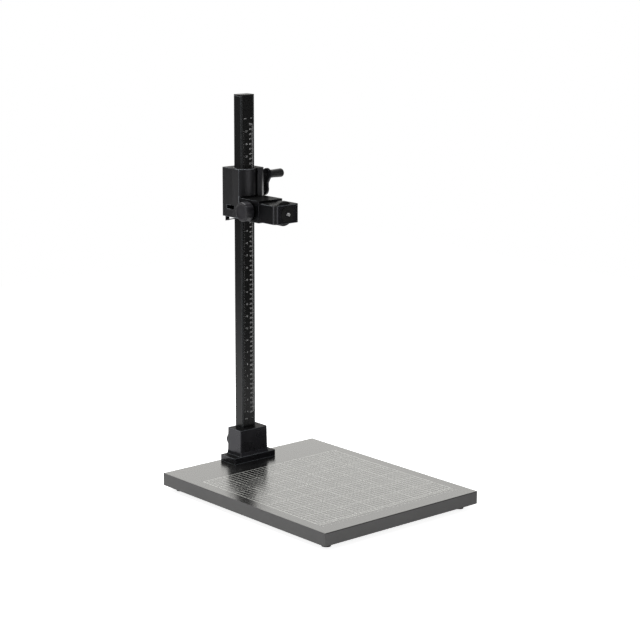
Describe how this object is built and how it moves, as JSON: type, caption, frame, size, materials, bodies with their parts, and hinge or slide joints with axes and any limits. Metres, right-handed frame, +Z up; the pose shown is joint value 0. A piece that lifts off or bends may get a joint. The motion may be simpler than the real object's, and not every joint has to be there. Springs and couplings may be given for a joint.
{
  "type": "copy stand",
  "caption": "Copy stand: a gridded baseboard with a scaled column, a crank-driven carriage with a clamped arm, and a tilting camera platform with a screw wheel.",
  "frame": {"origin": "centre of the baseboard's top face, where the column's scale counts from", "axes": "+X the operator's right, on the crank's side; -Y the front, where the camera platform faces; +Z up along the column"},
  "size_m": [0.4, 0.529, 0.7956],
  "materials": {
    "grid_laminate": "satin grey laminate with a fine white grid",
    "chipboard": "raw",
    "backing_laminate": "matte",
    "edge_banding": "matte",
    "foot_rubber": "matte",
    "column_metal": "black, satin",
    "cast_black": "black enamel, fine texture",
    "knob_plastic": "satin",
    "scale_print": "black with white ticks and plain numbers",
    "guide_plastic": "matte",
    "bright_steel": "satin",
    "dark_steel": "blackened",
    "screw_chrome": "polished",
    "brass": "turned",
    "drive_rubber": "matte",
    "pad_leather": "matte"
  },
  "bodies": {
    "stand": {"baseboard_core": "chipboard", "grid_sheet": "grid_laminate", "backing_sheet": "backing_laminate", "edge_band_front": "edge_banding", "edge_band_back": "edge_banding", "edge_band_left": "edge_banding", "edge_band_right": "edge_banding", "rubber_feet": "foot_rubber", "rubber_foot_screws": "bright_steel", "column_foot": "cast_black", "column_foot_bolts": "bright_steel", "column_foot_washers": "bright_steel", "foot_clamp_shoe": "brass", "column": "column_metal", "column_cap": "knob_plastic", "scale_strip": "scale_print"},
    "foot_clamp": {"foot_clamp_stud": "bright_steel", "foot_clamp_knob": "knob_plastic"},
    "carriage": {"carriage_front_shell": "cast_black", "carriage_rear_shell": "cast_black", "carriage_shell_screws": "dark_steel", "upper_guide_liner": "guide_plastic", "lower_guide_liner": "guide_plastic", "brake_pad": "pad_leather", "crank_bushes": "brass", "arm_block": "cast_black", "arm_block_bolts": "dark_steel", "arm_clamp_shoe": "brass"},
    "brake": {"brake_shaft": "bright_steel", "brake_cam": "bright_steel", "brake_lever": "bright_steel"},
    "crank": {"crank_shaft": "bright_steel", "friction_roller": "drive_rubber", "crank_arm": "cast_black", "crank_screw": "dark_steel", "crank_grip_pin": "bright_steel"},
    "crank_handle": {"crank_grip": "knob_plastic"},
    "arm_clamp": {"arm_clamp_stud": "bright_steel", "arm_clamp_knob": "knob_plastic"},
    "carrier": {"camera_carrier": "cast_black", "carrier_spigot": "bright_steel", "spigot_bolt": "dark_steel", "thrust_washer": "guide_plastic", "platform_ring": "foot_rubber"},
    "camera_screw": {"camera_screw": "screw_chrome", "screw_wheel": "knob_plastic"}
  },
  "joints": [
    {"name": "foot_clamp_turn", "type": "hinge", "parent": "stand", "child": "foot_clamp", "pos_m": [0, 0.259, 0.032], "axis": [0, 1, 0], "range_deg": [0, 360]},
    {"name": "carriage_slide", "type": "slide", "parent": "stand", "child": "carriage", "axis": [0, 0, 1], "range_m": [-0.43, 0.14]},
    {"name": "brake_swing", "type": "hinge", "parent": "carriage", "child": "brake", "pos_m": [-0.023, 0.2555, 0.545], "axis": [1, 0, 0], "range_deg": [-8, 0], "stiffness_Nm_per_rad": 0.3, "springref_deg": 5.73},
    {"name": "crank_turn", "type": "hinge", "parent": "carriage", "child": "crank", "pos_m": [0.0355, 0.2148, 0.567], "axis": [1, 0, 0], "range_deg": [-1460, 4480]},
    {"name": "crank_grip_spin", "type": "hinge", "parent": "crank", "child": "crank_handle", "pos_m": [0.0598, 0.20491, 0.59743], "axis": [1, 0, 0], "continuous": true},
    {"name": "arm_clamp_turn", "type": "hinge", "parent": "carriage", "child": "arm_clamp", "pos_m": [-0.0428, 0.177, 0.5315], "axis": [-1, 0, 0], "range_deg": [0, 270]},
    {"name": "carrier_tilt", "type": "hinge", "parent": "carriage", "child": "carrier", "pos_m": [0, 0.121, 0.5315], "axis": [0, 1, 0], "range_deg": [-90, 90]},
    {"name": "camera_screw_spin", "type": "hinge", "parent": "carrier", "child": "camera_screw", "pos_m": [0, 0.1121, 0.5315], "axis": [0, 1, 0], "continuous": true}
  ],
  "couplings": [
    {"joint": "crank_turn", "follows": "carriage_slide", "rad_per_m": -181.82}
  ]
}
